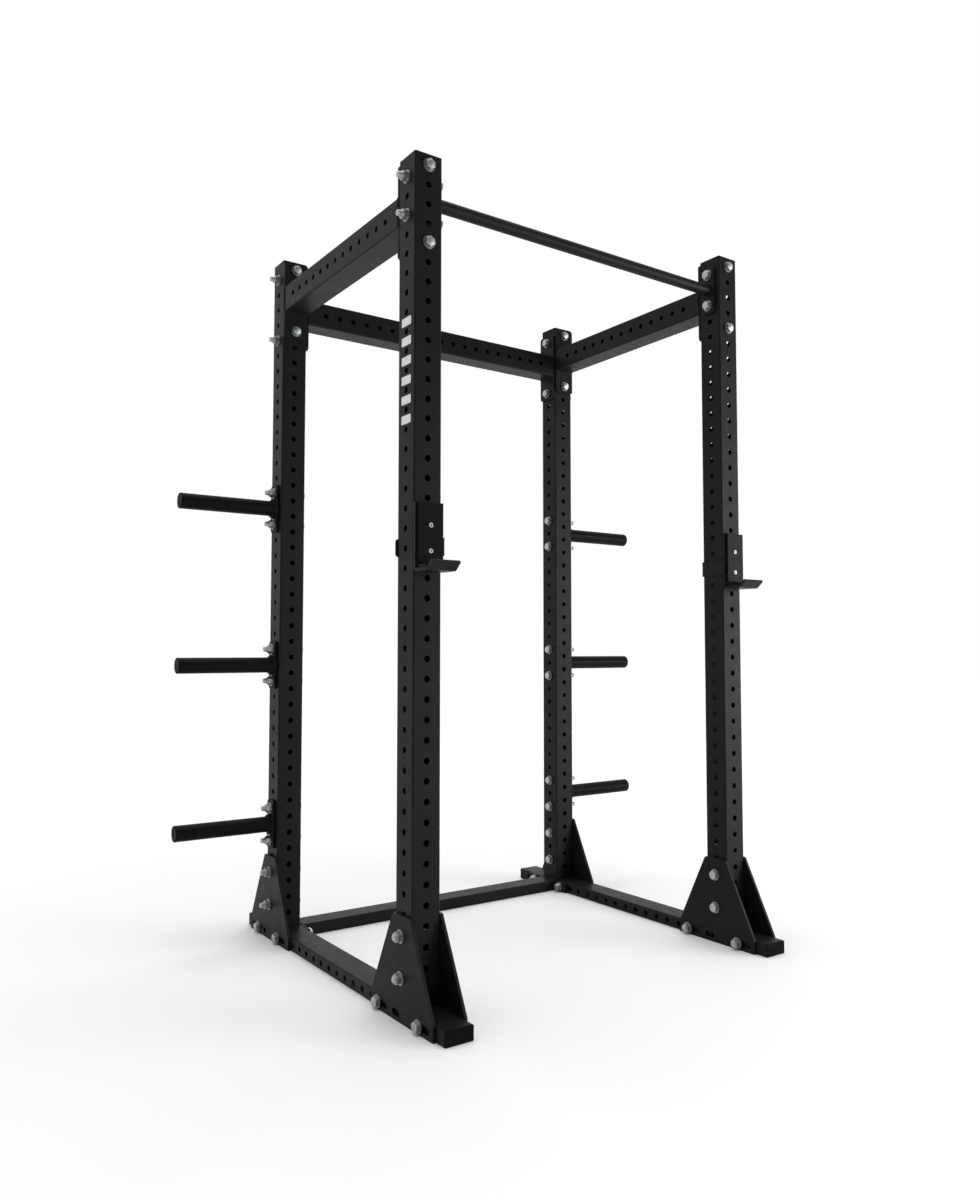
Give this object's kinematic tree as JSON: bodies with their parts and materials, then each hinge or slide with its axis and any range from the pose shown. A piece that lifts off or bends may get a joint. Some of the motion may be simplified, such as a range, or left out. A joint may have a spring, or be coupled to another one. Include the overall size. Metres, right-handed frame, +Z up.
{
  "type": "power cage",
  "caption": "Four-post power cage of perforated square tube with bolted crossmembers and gussets, a pull-up bar, plate storage horns and swinging J-cups.",
  "frame": {"origin": "on the floor, midway between the four uprights in X and midway along the base rails in Y", "axes": "+Z up, +Y towards the rear of the cage (the end with the storage horns), +X to the right of a person who stands in front of the cage and faces it"},
  "size_m": [1.82, 1.208, 2.162],
  "materials": {
    "frame_powder_coat": "satin black powder coat",
    "cup_powder_coat": "satin black powder coat",
    "zinc_fasteners": "bright zinc plate",
    "screw_steel": "plain machined steel",
    "cap_plastic": "moulded black plastic",
    "liner_plastic": "sheet polyethylene, semi-matt black",
    "white_print": "flat white print"
  },
  "bodies": {
    "cage": {"base_crossmember": "frame_powder_coat", "base_rail_cap_front_left": "cap_plastic", "base_rail_cap_front_right": "cap_plastic", "base_rail_cap_rear_left": "cap_plastic", "base_rail_cap_rear_right": "cap_plastic", "base_rail_left": "frame_powder_coat", "base_rail_right": "frame_powder_coat", "foot_bolts": "zinc_fasteners", "foot_nuts": "zinc_fasteners", "foot_washers": "zinc_fasteners", "gusset_front_left_inner": "frame_powder_coat", "gusset_front_left_outer": "frame_powder_coat", "gusset_front_right_inner": "frame_powder_coat", "gusset_front_right_outer": "frame_powder_coat", "gusset_rear_left_outer": "frame_powder_coat", "gusset_rear_right_outer": "frame_powder_coat", "horn_bolts": "zinc_fasteners", "horn_nuts": "zinc_fasteners", "horn_washers": "zinc_fasteners", "pull_up_bar": "frame_powder_coat", "rear_crossmember": "frame_powder_coat", "side_crossmember_left": "frame_powder_coat", "side_crossmember_right": "frame_powder_coat", "storage_horn_cap_lower_left": "cap_plastic", "storage_horn_cap_lower_right": "cap_plastic", "storage_horn_cap_middle_left": "cap_plastic", "storage_horn_cap_middle_right": "cap_plastic", "storage_horn_cap_upper_left": "cap_plastic", "storage_horn_cap_upper_right": "cap_plastic", "storage_horn_lower_left": "frame_powder_coat", "storage_horn_lower_right": "frame_powder_coat", "storage_horn_middle_left": "frame_powder_coat", "storage_horn_middle_right": "frame_powder_coat", "storage_horn_upper_left": "frame_powder_coat", "storage_horn_upper_right": "frame_powder_coat", "top_bolts": "zinc_fasteners", "top_nuts": "zinc_fasteners", "top_washers": "zinc_fasteners", "upright_cap_front_left": "cap_plastic", "upright_cap_front_right": "cap_plastic", "upright_cap_rear_left": "cap_plastic", "upright_cap_rear_right": "cap_plastic", "upright_front_left": "frame_powder_coat", "upright_front_right": "frame_powder_coat", "upright_rear_left": "frame_powder_coat", "upright_rear_right": "frame_powder_coat"},
    "j_cup_left": {"j_cup_back_liner_left": "liner_plastic", "j_cup_band_left": "cup_powder_coat", "j_cup_bracket_left": "cup_powder_coat", "j_cup_pin_left": "cup_powder_coat", "j_cup_screws_left": "screw_steel", "j_cup_seat_liner_left": "liner_plastic"},
    "j_cup_right": {"j_cup_back_liner_right": "liner_plastic", "j_cup_band_right": "cup_powder_coat", "j_cup_bracket_right": "cup_powder_coat", "j_cup_pin_right": "cup_powder_coat", "j_cup_screws_right": "screw_steel", "j_cup_seat_liner_right": "liner_plastic"}
  },
  "joints": [
    {"name": "j_cup_left_swing", "type": "hinge", "parent": "cage", "child": "j_cup_left", "pos_m": [-0.56, -0.455, 1.232], "axis": [0, -1, 0], "range_deg": [0, 90]},
    {"name": "j_cup_right_swing", "type": "hinge", "parent": "cage", "child": "j_cup_right", "pos_m": [0.56, -0.455, 1.232], "axis": [0, 1, 0], "range_deg": [0, 90]}
  ]
}
